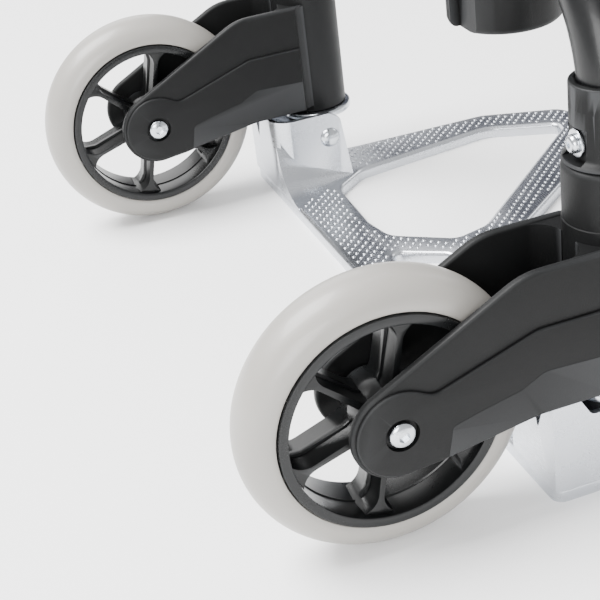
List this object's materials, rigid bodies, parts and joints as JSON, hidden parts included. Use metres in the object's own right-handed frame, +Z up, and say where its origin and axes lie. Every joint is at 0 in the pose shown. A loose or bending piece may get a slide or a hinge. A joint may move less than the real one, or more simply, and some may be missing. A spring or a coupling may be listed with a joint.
{
  "type": "folding shopping trolley chassis",
  "caption": "Folding wheeled trolley chassis with a hinged pierced toe plate, swivelling wheel forks and a telescopic handle, for carrying a bag or boxes.",
  "frame": {"origin": "on the ground, midway between the wheels and midway between the wheels' rear and the toe plate's front, which is on the plane of the two posts", "axes": "+Z up, +X towards the toe plate's front, +Y to the trolley's left, symmetric about y = 0"},
  "size_m": [0.376, 0.456, 1.008],
  "materials": {
    "plate_aluminium": "pressed and satin brushed",
    "tube_aluminium": "clear anodised, satin",
    "frame_tube": "black powder coat",
    "black_nylon": "moulded black nylon with a fine spark-eroded grain",
    "gloss_nylon": "moulded black nylon, semi-gloss",
    "tyre": "moulded warm grey elastomer, satin",
    "zinc": "bright zinc plated",
    "bearing_steel": "ground steel",
    "acetal": "natural acetal",
    "soft_grip": "soft moulded grip, matt"
  },
  "bodies": {
    "chassis": {"lower_cross_tube": "frame_tube", "upper_bridge": "black_nylon", "left_foot_block": "black_nylon", "left_arch_tube": "frame_tube", "left_thrust_washer": "zinc", "left_collar": "black_nylon", "left_collar_washer": "zinc", "left_collar_screw": "zinc", "left_tube_socket": "black_nylon", "left_outer_tube": "tube_aluminium", "right_foot_block": "black_nylon", "right_arch_tube": "frame_tube", "right_thrust_washer": "zinc", "right_collar": "black_nylon", "right_collar_washer": "zinc", "right_collar_screw": "zinc", "right_tube_socket": "black_nylon", "right_outer_tube": "tube_aluminium"},
    "toe_plate": {"toe_plate": "plate_aluminium", "left_pivot_rivet": "zinc", "right_pivot_rivet": "zinc"},
    "handle": {"handle_front_shell": "black_nylon", "handle_rear_shell": "black_nylon", "grip": "soft_grip", "left_inner_tube": "tube_aluminium", "left_slide_plug": "acetal", "left_lock_pin": "zinc", "left_shell_screw": "zinc", "right_inner_tube": "tube_aluminium", "right_slide_plug": "acetal", "right_lock_pin": "zinc", "right_shell_screw": "zinc"},
    "release": {"release_trigger": "gloss_nylon", "lock_link": "zinc", "left_lock_rod": "zinc", "right_lock_rod": "zinc"},
    "left_fork": {"left_fork": "black_nylon", "left_lower_bush": "acetal", "left_upper_bush": "acetal", "left_cam_peg": "acetal", "left_axle_bolt": "zinc", "left_axle_nut": "zinc"},
    "left_wheel": {"left_tyre": "tyre", "left_hub": "gloss_nylon", "left_near_bearing": "bearing_steel", "left_far_bearing": "bearing_steel", "left_bearing_spacer": "zinc"},
    "right_fork": {"right_fork": "black_nylon", "right_lower_bush": "acetal", "right_upper_bush": "acetal", "right_cam_peg": "acetal", "right_axle_bolt": "zinc", "right_axle_nut": "zinc"},
    "right_wheel": {"right_tyre": "tyre", "right_hub": "gloss_nylon", "right_near_bearing": "bearing_steel", "right_far_bearing": "bearing_steel", "right_bearing_spacer": "zinc"}
  },
  "joints": [
    {"name": "toe_plate_fold", "type": "hinge", "parent": "chassis", "child": "toe_plate", "pos_m": [-0.0036, 0, 0.0386], "axis": [0, -1, 0], "range_deg": [0, 90]},
    {"name": "left_fork_swivel", "type": "hinge", "parent": "chassis", "child": "left_fork", "pos_m": [0, 0.2, 0.1], "axis": [0, 0, 1], "range_deg": [0, 90]},
    {"name": "left_wheel_spin", "type": "hinge", "parent": "left_fork", "child": "left_wheel", "pos_m": [-0.118, 0.2, 0.07], "axis": [0, 1, 0], "continuous": true},
    {"name": "right_fork_swivel", "type": "hinge", "parent": "chassis", "child": "right_fork", "pos_m": [0, -0.2, 0.1], "axis": [0, 0, -1], "range_deg": [0, 90]},
    {"name": "right_wheel_spin", "type": "hinge", "parent": "right_fork", "child": "right_wheel", "pos_m": [-0.118, -0.2, 0.07], "axis": [0, 1, 0], "continuous": true},
    {"name": "handle_slide", "type": "slide", "parent": "chassis", "child": "handle", "axis": [0, 0, -1], "range_m": [0, 0.3]},
    {"name": "release_press", "type": "slide", "parent": "handle", "child": "release", "axis": [0, 0, 1], "range_m": [0, 0.004], "stiffness_N_per_m": 2500, "springref_m": -0.001}
  ],
  "couplings": [
    {"joint": "left_fork_swivel", "follows": "toe_plate_fold", "ratio": 1},
    {"joint": "right_fork_swivel", "follows": "toe_plate_fold", "ratio": 1}
  ]
}
